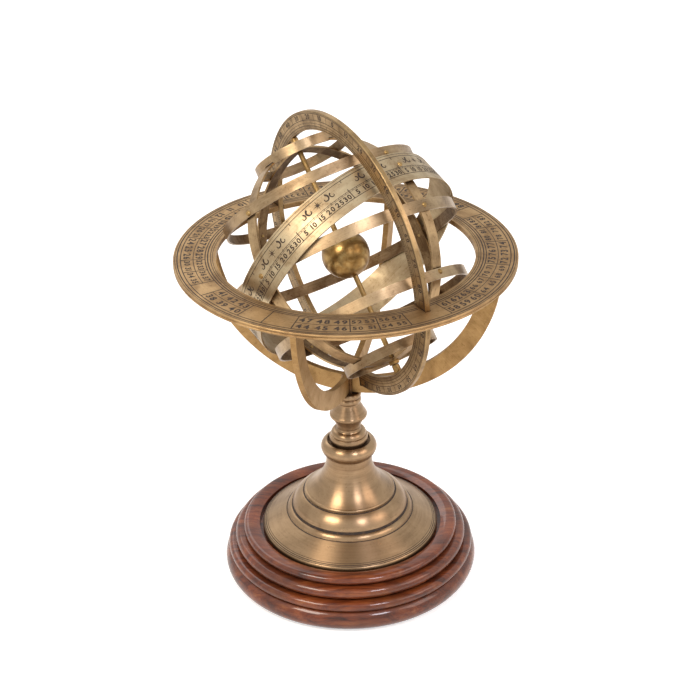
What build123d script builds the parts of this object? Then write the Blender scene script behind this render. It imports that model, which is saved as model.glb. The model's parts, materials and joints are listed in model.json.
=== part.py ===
"""Table armillary sphere: turned wooden base, brass bell foot and baluster stem, crossed
half-ring cradle, flat horizon ring, sliding meridian ring and a turning sphere of bands.

Millimetres. The origin is the middle of the underside of the base, +Z is up, and the
front is towards -Y. The sphere stands at its rest setting: the polar axis at POLE_ALTITUDE.
"""
from build123d import *
from math import asin, cos, degrees, radians, sin, sqrt
import os

os.makedirs("parts", exist_ok=True)

# Wooden base: four stepped rolls and a recess for the foot
BASE_RADIUS = 69.9
BASE_FOOT_RADIUS = 64.6
BOTTOM_ROLL_TOP = 11.8
LOWER_ROLL_RADIUS = 68.0
LOWER_ROLL_TOP = 16.9
MIDDLE_ROLL_RADIUS = 64.0
MIDDLE_ROLL_TOP = 23.0
LIP_RADIUS = 59.2
LIP_TOP = 27.6
ROLL_STEP = 1.2
RECESS_FLOOR = 23.8
RECESS_CLEARANCE = 1.9
NUT_RECESS_RADIUS = 12.0
NUT_RECESS_DEPTH = 10.0

# Bell foot
FOOT_RADIUS = 48.6
FOOT_WALL = 2.2
FOOT_RIM_HEIGHT = 3.5
BEAD_RADIUS = 34.6
BEAD_HEIGHT = 35.0
BELL_LIP_RADIUS = 24.9
BELL_LIP_HEIGHT = 46.6
BELL_NECK_RADIUS = 12.6
BELL_NECK_HEIGHT = 65.5
FOOT_TOP = 70.5
FOOT_CROWN = 4.0

# Stem
COLLAR_RADIUS = 15.2
COLLAR_TOP = 79.1
CUP_DEPTH = 1.6
DISC_RADIUS = 10.5
DISC_GROOVE_HEIGHT = 82.8
DISC_TOP = 85.8
NECK_RADIUS = 6.3
NECK_HEIGHT = 87.0
KNOB_RADIUS = 10.15
KNOB_HEIGHT = 95.0
KNOB_LINE_HEIGHT = 100.3
KNOB_TOP = 103.0
RING_RADIUS = 7.1
RING_COUNT = 2
RING_PITCH = 3.2

# Tie rod through the base and the stem
ROD_DIAMETER = 5.0
ROD_HOLE_CLEARANCE = 0.25
WASHER_DIAMETER = 20.0
WASHER_THICKNESS = 1.6
NUT_ACROSS_FLATS = 8.0
NUT_THICKNESS = 4.6
ROD_PROJECTION = 1.4
ROD_ENGAGEMENT = 5.0

# Cradle: slotted post and two half rings
POST_WIDTH = 5.6
ARM_OUTER_RADIUS = 82.7
ARM_WIDTH = 10.0
ARM_THICKNESS = 3.0
FRONT_ARM_AZIMUTH = -18.5
SIDE_ARM_AZIMUTH = FRONT_ARM_AZIMUTH + 90
TENON_WIDTH = 5.0
TENON_DEPTH = 1.4

# Horizon ring, at the height of the sphere's centre
SPHERE_HEIGHT = 191.3
HORIZON_OUTER_RADIUS = 88.9
HORIZON_INNER_RADIUS = 67.0
HORIZON_THICKNESS = 2.8
RIM_GROOVE = 0.5

# Meridian ring, which leans a little to the left
MERIDIAN_AZIMUTH = 31.0
MERIDIAN_LEAN = 4.0
MERIDIAN_OUTER_RADIUS = 76.9
MERIDIAN_INNER_RADIUS = 66.8
MERIDIAN_THICKNESS = 2.8
SLIDE_CLEARANCE = 0.3
EDGE_BREAK = 0.3

# Turning sphere
POLE_ALTITUDE = 48.0
SPHERE_TURN = 21.9
STRIP_THICKNESS = 1.0
COLURE_RADIUS = 60.5
COLURE_WIDTH = 6.5
EQUATOR_WIDTH = 6.0
BAND_SEAT = 0.05
TROPIC_HEIGHT = 33.6
TROPIC_WIDTH = 5.4
POLAR_RING_RADIUS = 25.2
POLAR_RING_WIDTH = 5.2
POLAR_RING_LIFT = 1.2
ZODIAC_WIDTH = 16.0
ZODIAC_TILT = 22.5
ZODIAC_SEAT = 0.15

# Axis, globe and pivots
AXIS_DIAMETER = 2.8
GLOBE_RADIUS = 12.5
POLE_NUT_ACROSS_FLATS = 5.2
POLE_NUT_THICKNESS = 1.8
END_PLAY = 0.3
COLLAR_DIAMETER = 4.0
JOURNAL_DIAMETER = 1.4
JOURNAL_CLEARANCE = 0.05
JOURNAL_LENGTH = 4.4
SHANK_DIAMETER = 1.8
SHANK_LENGTH = 5.0
COLLAR_SEAT = 0.05

# Rivets
RIVET_DIAMETER = 1.5
RIVET_HEAD_DIAMETER = 2.8
RIVET_HEAD_HEIGHT = 0.7
RIVET_EDGE_DISTANCE = 1.8

# Heights and radii that follow from the sizes above
recess_radius = FOOT_RADIUS + RECESS_CLEARANCE
horizon_top = SPHERE_HEIGHT + HORIZON_THICKNESS / 2
horizon_underside = SPHERE_HEIGHT - HORIZON_THICKNESS / 2
arm_inner_radius = ARM_OUTER_RADIUS - ARM_WIDTH
arm_bottom = horizon_top - ARM_OUTER_RADIUS
arm_middle_radius = ARM_OUTER_RADIUS - ARM_WIDTH / 2
post_top = horizon_top - arm_inner_radius
slot_width = MERIDIAN_THICKNESS + 2 * SLIDE_CLEARANCE
slot_radius = MERIDIAN_OUTER_RADIUS + SLIDE_CLEARANCE
rod_hole_radius = ROD_DIAMETER / 2 + ROD_HOLE_CLEARANCE
post_foot_top = KNOB_TOP + RING_COUNT * RING_PITCH

# Directions: the pole lies in the meridian plane, at the back left
centre = Vector(0, 0, SPHERE_HEIGHT)
up = Vector(0, 0, 1)
meridian_front = Vector(sin(radians(MERIDIAN_AZIMUTH)), -cos(radians(MERIDIAN_AZIMUTH)), 0)
right = meridian_front.cross(up) * -1
meridian_top = up * cos(radians(MERIDIAN_LEAN)) - right * sin(radians(MERIDIAN_LEAN))
meridian_normal = right * cos(radians(MERIDIAN_LEAN)) + up * sin(radians(MERIDIAN_LEAN))
pole = meridian_top * sin(radians(POLE_ALTITUDE)) - meridian_front * cos(radians(POLE_ALTITUDE))
equator_top = meridian_top * cos(radians(POLE_ALTITUDE)) + meridian_front * sin(radians(POLE_ALTITUDE))
equator_side = pole.cross(equator_top)
solstice = equator_top * cos(radians(SPHERE_TURN)) + equator_side * sin(radians(SPHERE_TURN))
equinox = pole.cross(solstice)
summer = solstice * cos(radians(ZODIAC_TILT)) + pole * sin(radians(ZODIAC_TILT))
zodiac_pole = pole * cos(radians(ZODIAC_TILT)) - solstice * sin(radians(ZODIAC_TILT))

meridian_plane = Plane(origin=centre, x_dir=meridian_front, z_dir=meridian_normal)
equator_plane = Plane(origin=centre, x_dir=solstice, z_dir=pole)
solstice_plane = Plane(origin=centre, x_dir=pole, z_dir=equinox)
equinox_plane = Plane(origin=centre, x_dir=pole, z_dir=solstice)
zodiac_plane = Plane(origin=centre, x_dir=summer, z_dir=zodiac_pole)


def ray_plane(direction, distance):
    """A plane across a radius of the sphere, facing outwards."""
    return Plane(origin=centre + direction * distance, z_dir=direction)


def slot_plane(azimuth, height):
    """A level plane with its X along an azimuth from the front."""
    along = Vector(sin(radians(azimuth)), -cos(radians(azimuth)), 0)
    return Plane(origin=(0, 0, height), x_dir=along, z_dir=(0, 0, 1))


# Wooden base
with BuildPart() as wood_base:
    with BuildSketch(Plane.XZ) as base_profile:
        with BuildLine():
            floor = Line((rod_hole_radius, 0), (BASE_FOOT_RADIUS, 0))
            bottom_roll = ThreePointArc(
                floor @ 1, (BASE_RADIUS, BOTTOM_ROLL_TOP / 2), (BASE_FOOT_RADIUS + ROLL_STEP, BOTTOM_ROLL_TOP)
            )
            step_1 = Line(bottom_roll @ 1, (LOWER_ROLL_RADIUS - 2 * ROLL_STEP, BOTTOM_ROLL_TOP))
            lower_roll = ThreePointArc(
                step_1 @ 1,
                (LOWER_ROLL_RADIUS, (BOTTOM_ROLL_TOP + LOWER_ROLL_TOP) / 2),
                (LOWER_ROLL_RADIUS - 2 * ROLL_STEP, LOWER_ROLL_TOP),
            )
            step_2 = Line(lower_roll @ 1, (MIDDLE_ROLL_RADIUS - 2 * ROLL_STEP, LOWER_ROLL_TOP))
            middle_roll = ThreePointArc(
                step_2 @ 1,
                (MIDDLE_ROLL_RADIUS, (LOWER_ROLL_TOP + MIDDLE_ROLL_TOP) / 2),
                (MIDDLE_ROLL_RADIUS - 2 * ROLL_STEP, MIDDLE_ROLL_TOP),
            )
            step_3 = Line(middle_roll @ 1, (LIP_RADIUS - 1.6 * ROLL_STEP, MIDDLE_ROLL_TOP))
            lip_side = ThreePointArc(
                step_3 @ 1,
                (LIP_RADIUS, (MIDDLE_ROLL_TOP + LIP_TOP) / 2),
                (LIP_RADIUS - 2 * ROLL_STEP, LIP_TOP),
            )
            lip_inside = ThreePointArc(
                lip_side @ 1,
                ((LIP_RADIUS + recess_radius) / 2 - ROLL_STEP, LIP_TOP - 0.2),
                (recess_radius, LIP_TOP - ROLL_STEP),
            )
            wall = Line(lip_inside @ 1, (recess_radius, RECESS_FLOOR))
            shelf = Line(wall @ 1, (rod_hole_radius, RECESS_FLOOR))
            Line(shelf @ 1, floor @ 0)
        make_face()
    revolve(axis=Axis.Z)
    with BuildSketch():
        Circle(NUT_RECESS_RADIUS)
    extrude(amount=NUT_RECESS_DEPTH, mode=Mode.SUBTRACT)
wood_base.part.label = "wood_base"
export_step(wood_base.part, "parts/wood_base.step")

# Bell foot: beaded rim, dished flange, dome and trumpet bell, hollow below
with BuildPart() as bell_foot:
    with BuildSketch(Plane.XZ) as foot_profile:
        with BuildLine():
            rim_base = (FOOT_RADIUS - 0.9, RECESS_FLOOR)
            rim_crown = (FOOT_RADIUS - 0.7, RECESS_FLOOR + FOOT_RIM_HEIGHT)
            rim = ThreePointArc(rim_base, (FOOT_RADIUS, RECESS_FLOOR + FOOT_RIM_HEIGHT / 2), rim_crown)
            flange = Line(rim @ 1, (BEAD_RADIUS, BEAD_HEIGHT))
            bead = ThreePointArc(
                flange @ 1, (BEAD_RADIUS - 1.1, BEAD_HEIGHT + 1.9), (BEAD_RADIUS - 2.5, BEAD_HEIGHT + 2.5)
            )
            bead_groove = Line(bead @ 1, (BEAD_RADIUS - 2.6, BEAD_HEIGHT + 2.2))
            dome = ThreePointArc(
                bead_groove @ 1,
                (BEAD_RADIUS - 3.3, BEAD_HEIGHT + 5.2),
                (BELL_LIP_RADIUS - 0.2, BELL_LIP_HEIGHT),
            )
            lip = ThreePointArc(
                dome @ 1,
                (BELL_LIP_RADIUS, BELL_LIP_HEIGHT + 0.8),
                (BELL_LIP_RADIUS - 0.9, BELL_LIP_HEIGHT + 1.5),
            )
            bell = ThreePointArc(
                lip @ 1,
                ((BELL_LIP_RADIUS + BELL_NECK_RADIUS) / 2 - 2.0, (BELL_LIP_HEIGHT + BELL_NECK_HEIGHT) / 2 - 0.9),
                (BELL_NECK_RADIUS, BELL_NECK_HEIGHT),
            )
            neck = Line(bell @ 1, (BELL_NECK_RADIUS, FOOT_TOP))
            crown = Line(neck @ 1, (rod_hole_radius, FOOT_TOP))
            bore = Line(crown @ 1, (rod_hole_radius, FOOT_TOP - FOOT_CROWN))
            inside = Polyline(
                bore @ 1,
                (BELL_NECK_RADIUS - FOOT_WALL, FOOT_TOP - FOOT_CROWN),
                (BELL_NECK_RADIUS - FOOT_WALL, BELL_NECK_HEIGHT - FOOT_WALL),
                (BELL_LIP_RADIUS - 3.6 * FOOT_WALL, BELL_LIP_HEIGHT + FOOT_WALL),
                (BELL_LIP_RADIUS - FOOT_WALL, BELL_LIP_HEIGHT - 1.4 * FOOT_WALL),
                (BEAD_RADIUS - 2.7 * FOOT_WALL, BEAD_HEIGHT + 2 * FOOT_WALL),
                (BEAD_RADIUS - 2 * FOOT_WALL, BEAD_HEIGHT),
                (FOOT_RADIUS - 2 * FOOT_WALL, RECESS_FLOOR),
            )
            Line(inside @ 1, rim @ 0)
        make_face()
    revolve(axis=Axis.Z)
bell_foot.part.label = "bell_foot"
export_step(bell_foot.part, "parts/bell_foot.step")

# Stem collar: a large torus with a sunk top
with BuildPart() as stem_collar:
    with BuildSketch(Plane.XZ) as collar_profile:
        with BuildLine():
            seat = Line((rod_hole_radius, FOOT_TOP), (COLLAR_RADIUS - 2.0, FOOT_TOP))
            fillet_step = Line(seat @ 1, (COLLAR_RADIUS - 1.6, FOOT_TOP + 0.9))
            torus = ThreePointArc(
                fillet_step @ 1,
                (COLLAR_RADIUS, (FOOT_TOP + COLLAR_TOP) / 2 + 0.6),
                (COLLAR_RADIUS - 3.1, COLLAR_TOP),
            )
            cup = Polyline(
                torus @ 1,
                (COLLAR_RADIUS - 3.6, COLLAR_TOP - 0.2),
                (COLLAR_RADIUS - 3.9, COLLAR_TOP - CUP_DEPTH),
                (rod_hole_radius, COLLAR_TOP - CUP_DEPTH),
                seat @ 0,
            )
        make_face()
    revolve(axis=Axis.Z)
stem_collar.part.label = "stem_collar"
export_step(stem_collar.part, "parts/stem_collar.step")

# Stem baluster: grooved disc, neck and bulb knob
with BuildPart() as stem_baluster:
    baluster_seat = COLLAR_TOP - CUP_DEPTH
    with BuildSketch(Plane.XZ) as baluster_profile:
        with BuildLine():
            base_line = Line((ROD_DIAMETER / 2, baluster_seat), (DISC_RADIUS - 0.8, baluster_seat))
            disc_foot = Line(base_line @ 1, (DISC_RADIUS - 0.6, DISC_GROOVE_HEIGHT - 3.8))
            disc_edge = ThreePointArc(
                disc_foot @ 1,
                (DISC_RADIUS, DISC_GROOVE_HEIGHT - 2.0),
                (DISC_RADIUS - 0.5, DISC_GROOVE_HEIGHT - 0.2),
            )
            disc_groove = Line(disc_edge @ 1, (DISC_RADIUS - 1.0, DISC_GROOVE_HEIGHT))
            disc = ThreePointArc(
                disc_groove @ 1,
                (DISC_RADIUS - 1.5, DISC_TOP - 0.9),
                (NECK_RADIUS + 0.7, DISC_TOP),
            )
            throat = ThreePointArc(disc @ 1, (NECK_RADIUS, NECK_HEIGHT), (NECK_RADIUS + 0.4, NECK_HEIGHT + 1.4))
            flare = ThreePointArc(
                throat @ 1,
                ((NECK_RADIUS + KNOB_RADIUS) / 2 - 0.6, (NECK_HEIGHT + KNOB_HEIGHT) / 2 + 0.2),
                (KNOB_RADIUS - 0.85, KNOB_HEIGHT - 1.2),
            )
            knob = ThreePointArc(flare @ 1, (KNOB_RADIUS, KNOB_HEIGHT), (KNOB_RADIUS - 0.55, KNOB_HEIGHT + 1.6))
            shoulder = Polyline(
                knob @ 1,
                (RING_RADIUS + 0.6, KNOB_LINE_HEIGHT - 0.1),
                (RING_RADIUS + 0.4, KNOB_LINE_HEIGHT + 0.1),
                (RING_RADIUS - 0.7, KNOB_TOP - 0.6),
                (RING_RADIUS - 0.7, KNOB_TOP),
                (ROD_DIAMETER / 2, KNOB_TOP),
                base_line @ 0,
            )
        make_face()
    revolve(axis=Axis.Z)
stem_baluster.part.label = "stem_baluster"
export_step(stem_baluster.part, "parts/stem_baluster.step")

# Tie rod, with its nut and washer in the recess under the base
rod_bottom = NUT_RECESS_DEPTH - WASHER_THICKNESS - NUT_THICKNESS - ROD_PROJECTION
with BuildPart() as tie_rod:
    with BuildSketch(Plane.XY.offset(rod_bottom)):
        Circle(ROD_DIAMETER / 2)
    extrude(amount=KNOB_TOP + ROD_ENGAGEMENT - rod_bottom)
    chamfer(tie_rod.edges(), 0.5)
tie_rod.part.label = "tie_rod"
export_step(tie_rod.part, "parts/tie_rod.step")

with BuildPart() as base_washer:
    with BuildSketch(Plane.XY.offset(NUT_RECESS_DEPTH - WASHER_THICKNESS)):
        Circle(WASHER_DIAMETER / 2)
        Circle(rod_hole_radius, mode=Mode.SUBTRACT)
    extrude(amount=WASHER_THICKNESS)
base_washer.part.label = "base_washer"
export_step(base_washer.part, "parts/base_washer.step")

with BuildPart() as base_nut:
    with BuildSketch(Plane.XY.offset(NUT_RECESS_DEPTH - WASHER_THICKNESS - NUT_THICKNESS)):
        RegularPolygon(NUT_ACROSS_FLATS / 2, 6, major_radius=False)
        Circle(ROD_DIAMETER / 2, mode=Mode.SUBTRACT)
    extrude(amount=NUT_THICKNESS)
base_nut.part.label = "base_nut"
export_step(base_nut.part, "parts/base_nut.step")

# Cradle post: ringed foot and a square head, cross slotted and relieved for the meridian
with BuildPart() as cradle_post:
    with BuildSketch(Plane.XZ) as post_foot_profile:
        with BuildLine():
            last = Line((0, KNOB_TOP), (RING_RADIUS - 0.8, KNOB_TOP))
            for ring in range(RING_COUNT):
                ring_base = KNOB_TOP + ring * RING_PITCH
                last = ThreePointArc(
                    last @ 1, (RING_RADIUS, ring_base + RING_PITCH / 2), (RING_RADIUS - 0.8, ring_base + RING_PITCH)
                )
            Polyline(last @ 1, (0, post_foot_top), (0, KNOB_TOP))
        make_face()
    revolve(axis=Axis.Z)
    with BuildSketch(slot_plane(FRONT_ARM_AZIMUTH, post_foot_top)):
        Rectangle(POST_WIDTH, POST_WIDTH)
    extrude(amount=post_top - post_foot_top)
    with BuildSketch(slot_plane(FRONT_ARM_AZIMUTH, arm_bottom)):
        Rectangle(3 * POST_WIDTH, ARM_THICKNESS)
        Rectangle(ARM_THICKNESS, 3 * POST_WIDTH)
    extrude(amount=2 * ARM_WIDTH, mode=Mode.SUBTRACT)
    with BuildSketch(meridian_plane):
        Circle(slot_radius)
    extrude(amount=slot_width / 2, both=True, mode=Mode.SUBTRACT)
    with BuildSketch(Plane.XY.offset(KNOB_TOP)):
        Circle(ROD_DIAMETER / 2)
    extrude(amount=ROD_ENGAGEMENT, mode=Mode.SUBTRACT)
cradle_post.part.label = "cradle_post"
export_step(cradle_post.part, "parts/cradle_post.step")

# Cradle arms: flat half rings, lapped where they cross, tenoned into the horizon ring
lap_height = arm_bottom + ARM_WIDTH / 3
arms = {}
for name, azimuth, lap_from, lap_to in (
    ("front_cradle_arm", FRONT_ARM_AZIMUTH, lap_height, post_top + ARM_WIDTH),
    ("side_cradle_arm", SIDE_ARM_AZIMUTH, arm_bottom - ARM_WIDTH, lap_height),
):
    along = Vector(sin(radians(azimuth)), -cos(radians(azimuth)), 0)
    arm_plane = Plane(origin=(0, 0, horizon_top), x_dir=along, z_dir=along.cross(up))
    with BuildPart() as arm:
        with BuildSketch(arm_plane):
            Circle(ARM_OUTER_RADIUS)
            Circle(arm_inner_radius, mode=Mode.SUBTRACT)
            with Locations((0, ARM_OUTER_RADIUS - HORIZON_THICKNESS)):
                Rectangle(2 * ARM_OUTER_RADIUS, 2 * ARM_OUTER_RADIUS, mode=Mode.SUBTRACT)
            for side in (-1, 1):
                with Locations((side * arm_middle_radius, TENON_DEPTH / 2 - HORIZON_THICKNESS)):
                    Rectangle(TENON_WIDTH, TENON_DEPTH)
        extrude(amount=ARM_THICKNESS / 2, both=True)
        with BuildSketch(slot_plane(azimuth, lap_from)):
            Rectangle(ARM_THICKNESS, 2 * ARM_THICKNESS)
        extrude(amount=lap_to - lap_from, mode=Mode.SUBTRACT)
        with BuildSketch(meridian_plane):
            Circle(slot_radius)
        extrude(amount=slot_width / 2, both=True, mode=Mode.SUBTRACT)
    arm.part.label = name
    export_step(arm.part, f"parts/{name}.step")
    arms[name] = arm.part

# Horizon ring: grooved rim, two notches for the meridian ring, mortises for the arms
with BuildPart() as horizon_ring:
    with BuildSketch(Plane.XZ) as horizon_profile:
        with BuildLine():
            section = Polyline(
                (HORIZON_INNER_RADIUS, horizon_underside),
                (HORIZON_OUTER_RADIUS - EDGE_BREAK, horizon_underside),
                (HORIZON_OUTER_RADIUS, horizon_underside + EDGE_BREAK),
                (HORIZON_OUTER_RADIUS, horizon_underside + HORIZON_THICKNESS / 2 - RIM_GROOVE),
                (HORIZON_OUTER_RADIUS - RIM_GROOVE, horizon_underside + HORIZON_THICKNESS / 2),
                (HORIZON_OUTER_RADIUS, horizon_underside + HORIZON_THICKNESS / 2 + RIM_GROOVE),
                (HORIZON_OUTER_RADIUS, horizon_top - EDGE_BREAK),
                (HORIZON_OUTER_RADIUS - EDGE_BREAK, horizon_top),
                (HORIZON_INNER_RADIUS, horizon_top),
                close=True,
            )
        make_face()
    revolve(axis=Axis.Z)
    with BuildSketch(meridian_plane):
        Circle(slot_radius)
    extrude(amount=slot_width / 2, both=True, mode=Mode.SUBTRACT)
    for azimuth in (FRONT_ARM_AZIMUTH, SIDE_ARM_AZIMUTH):
        with BuildSketch(slot_plane(azimuth, horizon_underside)):
            with Locations((arm_middle_radius, 0), (-arm_middle_radius, 0)):
                Rectangle(TENON_WIDTH, ARM_THICKNESS)
        extrude(amount=TENON_DEPTH, mode=Mode.SUBTRACT)
horizon_ring.part.label = "horizon_ring"
export_step(horizon_ring.part, "parts/horizon_ring.step")

# Meridian ring, bored at the poles for the pivots
with BuildPart() as meridian_ring:
    with BuildSketch(meridian_plane):
        Circle(MERIDIAN_OUTER_RADIUS)
        Circle(MERIDIAN_INNER_RADIUS, mode=Mode.SUBTRACT)
    extrude(amount=MERIDIAN_THICKNESS / 2, both=True)
    chamfer(meridian_ring.edges().filter_by(GeomType.CIRCLE), EDGE_BREAK)
    for direction in (pole, pole * -1):
        with BuildSketch(ray_plane(direction, MERIDIAN_INNER_RADIUS - 1)):
            Circle(SHANK_DIAMETER / 2)
        extrude(amount=SHANK_LENGTH + 1, mode=Mode.SUBTRACT)
meridian_ring.part.label = "meridian_ring"
export_step(meridian_ring.part, "parts/meridian_ring.step")

# Pole pivots: a shank in the ring, a collar and a journal in the end of the axis
nut_top = COLURE_RADIUS + POLE_NUT_THICKNESS
collar_face = nut_top + END_PLAY
pivots = {}
for name, direction in (("north_pivot", pole), ("south_pivot", pole * -1)):
    with BuildPart() as pivot:
        with BuildSketch(ray_plane(direction, collar_face)):
            Circle(COLLAR_DIAMETER / 2)
        extrude(amount=MERIDIAN_INNER_RADIUS - COLLAR_SEAT - collar_face)
        chamfer(pivot.edges().filter_by(GeomType.CIRCLE), 0.3)
        with BuildSketch(ray_plane(direction, collar_face - JOURNAL_LENGTH)):
            Circle(JOURNAL_DIAMETER / 2)
        extrude(amount=JOURNAL_LENGTH + 1)
        with BuildSketch(ray_plane(direction, collar_face + 1)):
            Circle(SHANK_DIAMETER / 2)
        extrude(amount=MERIDIAN_INNER_RADIUS + SHANK_LENGTH - collar_face - 1)
    pivot.part.label = name
    export_step(pivot.part, f"parts/{name}.step")
    pivots[name] = pivot.part

# Axis rod, drilled at both ends for the journals
with BuildPart() as axis_rod:
    with BuildSketch(equator_plane.offset(-nut_top)):
        Circle(AXIS_DIAMETER / 2)
    extrude(amount=2 * nut_top)
    for direction in (pole, pole * -1):
        with BuildSketch(ray_plane(direction, collar_face - JOURNAL_LENGTH - END_PLAY)):
            Circle(JOURNAL_DIAMETER / 2 + JOURNAL_CLEARANCE)
        extrude(amount=JOURNAL_LENGTH + 1, mode=Mode.SUBTRACT)
axis_rod.part.label = "axis_rod"
export_step(axis_rod.part, "parts/axis_rod.step")

# Nuts that clamp the crossed colures at the poles
with BuildPart() as pole_nuts:
    for direction in (pole, pole * -1):
        with BuildSketch(ray_plane(direction, COLURE_RADIUS)):
            RegularPolygon(POLE_NUT_ACROSS_FLATS / 2, 6, major_radius=False)
            Circle(AXIS_DIAMETER / 2, mode=Mode.SUBTRACT)
        extrude(amount=POLE_NUT_THICKNESS)
pole_nuts.part.label = "pole_nuts"
export_step(pole_nuts.part, "parts/pole_nuts.step")

# Globe at the centre, threaded on the axis
with BuildPart() as earth_globe:
    with BuildSketch(solstice_plane):
        Circle(GLOBE_RADIUS)
        with Locations((0, -GLOBE_RADIUS)):
            Rectangle(2 * GLOBE_RADIUS, 2 * GLOBE_RADIUS, mode=Mode.SUBTRACT)
    revolve(axis=Axis(centre, pole))
    with BuildSketch(equator_plane.offset(-GLOBE_RADIUS)):
        Circle(AXIS_DIAMETER / 2)
    extrude(amount=2 * GLOBE_RADIUS, mode=Mode.SUBTRACT)
earth_globe.part.label = "earth_globe"
export_step(earth_globe.part, "parts/earth_globe.step")

# Places where strips cross and a rivet goes through: (direction, height along the pole)
tropic_edge = TROPIC_HEIGHT - TROPIC_WIDTH / 2
rivet_height = tropic_edge + RIVET_EDGE_DISTANCE
quarters = (solstice, equinox, solstice * -1, equinox * -1)

# Band radii: each band rests on the edges of the colures, the zodiac band on the equator
colure_edge = sqrt(COLURE_RADIUS**2 + (COLURE_WIDTH / 2) ** 2)
equator_inner = colure_edge + BAND_SEAT
tropic_inner = sqrt(colure_edge**2 - tropic_edge**2) + BAND_SEAT
zodiac_inner = sqrt((equator_inner + STRIP_THICKNESS) ** 2 + (EQUATOR_WIDTH / 2) ** 2) + ZODIAC_SEAT
polar_ring_height = sqrt(COLURE_RADIUS**2 - (POLAR_RING_RADIUS - STRIP_THICKNESS) ** 2)


def rivet_plane(direction, height, radius):
    """The plane across a rivet, at a height along the pole and a radius from it."""
    return Plane(origin=centre + pole * height + direction * radius, x_dir=pole, z_dir=direction)


# Colures: two great circles through the poles, half-lapped there in their thickness
lap_radius = COLURE_RADIUS - STRIP_THICKNESS / 2
colures = {}
for name, plane, across, lap_inside in (
    ("solstitial_colure", solstice_plane, solstice, True),
    ("equinoctial_colure", equinox_plane, equinox, False),
):
    with BuildPart() as colure:
        with BuildSketch(plane):
            Circle(COLURE_RADIUS)
            Circle(COLURE_RADIUS - STRIP_THICKNESS, mode=Mode.SUBTRACT)
        extrude(amount=COLURE_WIDTH / 2, both=True)
        for direction in (pole, pole * -1):
            lap_start = lap_radius - 2 * STRIP_THICKNESS if lap_inside else lap_radius
            with BuildSketch(Plane(origin=centre + direction * lap_start, x_dir=across, z_dir=direction)):
                Rectangle(COLURE_WIDTH + BAND_SEAT, 2 * COLURE_WIDTH)
            extrude(amount=2 * STRIP_THICKNESS, mode=Mode.SUBTRACT)
            with BuildSketch(ray_plane(direction, lap_radius - STRIP_THICKNESS)):
                Circle(AXIS_DIAMETER / 2)
            extrude(amount=2 * STRIP_THICKNESS, mode=Mode.SUBTRACT)
        for side in (across, across * -1):
            for height in (rivet_height, 0, -rivet_height):
                with BuildSketch(rivet_plane(side, height, COLURE_RADIUS / 2)):
                    Circle(RIVET_DIAMETER / 2)
                extrude(amount=COLURE_RADIUS, mode=Mode.SUBTRACT)
        if lap_inside:
            for direction in (summer, summer * -1):
                with BuildSketch(ray_plane(direction, COLURE_RADIUS / 2)):
                    Circle(RIVET_DIAMETER / 2)
                extrude(amount=COLURE_RADIUS, mode=Mode.SUBTRACT)
    colure.part.label = name
    export_step(colure.part, f"parts/{name}.step")
    colures[name] = colure.part

# Equator and tropics: flat strips bent round the colures
bands = {}
for name, height, inner, width, rivet_at in (
    ("equator_band", 0, equator_inner, EQUATOR_WIDTH, 0),
    ("north_tropic_band", TROPIC_HEIGHT, tropic_inner, TROPIC_WIDTH, rivet_height),
    ("south_tropic_band", -TROPIC_HEIGHT, tropic_inner, TROPIC_WIDTH, -rivet_height),
):
    with BuildPart() as band:
        with BuildSketch(equator_plane.offset(height)):
            Circle(inner + STRIP_THICKNESS)
            Circle(inner, mode=Mode.SUBTRACT)
        extrude(amount=width / 2, both=True)
        for direction in quarters:
            with BuildSketch(rivet_plane(direction, rivet_at, inner / 2)):
                Circle(RIVET_DIAMETER / 2)
            extrude(amount=inner, mode=Mode.SUBTRACT)
    band.part.label = name
    export_step(band.part, f"parts/{name}.step")
    bands[name] = band.part

# Polar rings: notched over the colures from the side nearest the equator
for name, side in (("arctic_ring", 1), ("antarctic_ring", -1)):
    with BuildPart() as polar_ring:
        with BuildSketch(equator_plane.offset(side * (polar_ring_height + POLAR_RING_LIFT))):
            Circle(POLAR_RING_RADIUS)
            Circle(POLAR_RING_RADIUS - STRIP_THICKNESS, mode=Mode.SUBTRACT)
        extrude(amount=POLAR_RING_WIDTH / 2, both=True)
        with BuildSketch(equator_plane.offset(side * (polar_ring_height + BAND_SEAT))):
            Rectangle(3 * POLAR_RING_RADIUS, COLURE_WIDTH + 2 * BAND_SEAT)
            Rectangle(COLURE_WIDTH + 2 * BAND_SEAT, 3 * POLAR_RING_RADIUS)
        extrude(amount=-side * POLAR_RING_WIDTH, mode=Mode.SUBTRACT)
    polar_ring.part.label = name
    export_step(polar_ring.part, f"parts/{name}.step")
    bands[name] = polar_ring.part

# Zodiac band: the wide strip, tilted, over the equator at the equinoxes
with BuildPart() as zodiac_band:
    with BuildSketch(zodiac_plane):
        Circle(zodiac_inner + STRIP_THICKNESS)
        Circle(zodiac_inner, mode=Mode.SUBTRACT)
    extrude(amount=ZODIAC_WIDTH / 2, both=True)
    for direction in (summer, equinox, summer * -1, equinox * -1):
        with BuildSketch(ray_plane(direction, zodiac_inner / 2)):
            Circle(RIVET_DIAMETER / 2)
        extrude(amount=zodiac_inner, mode=Mode.SUBTRACT)
zodiac_band.part.label = "zodiac_band"
export_step(zodiac_band.part, "parts/zodiac_band.step")

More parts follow.
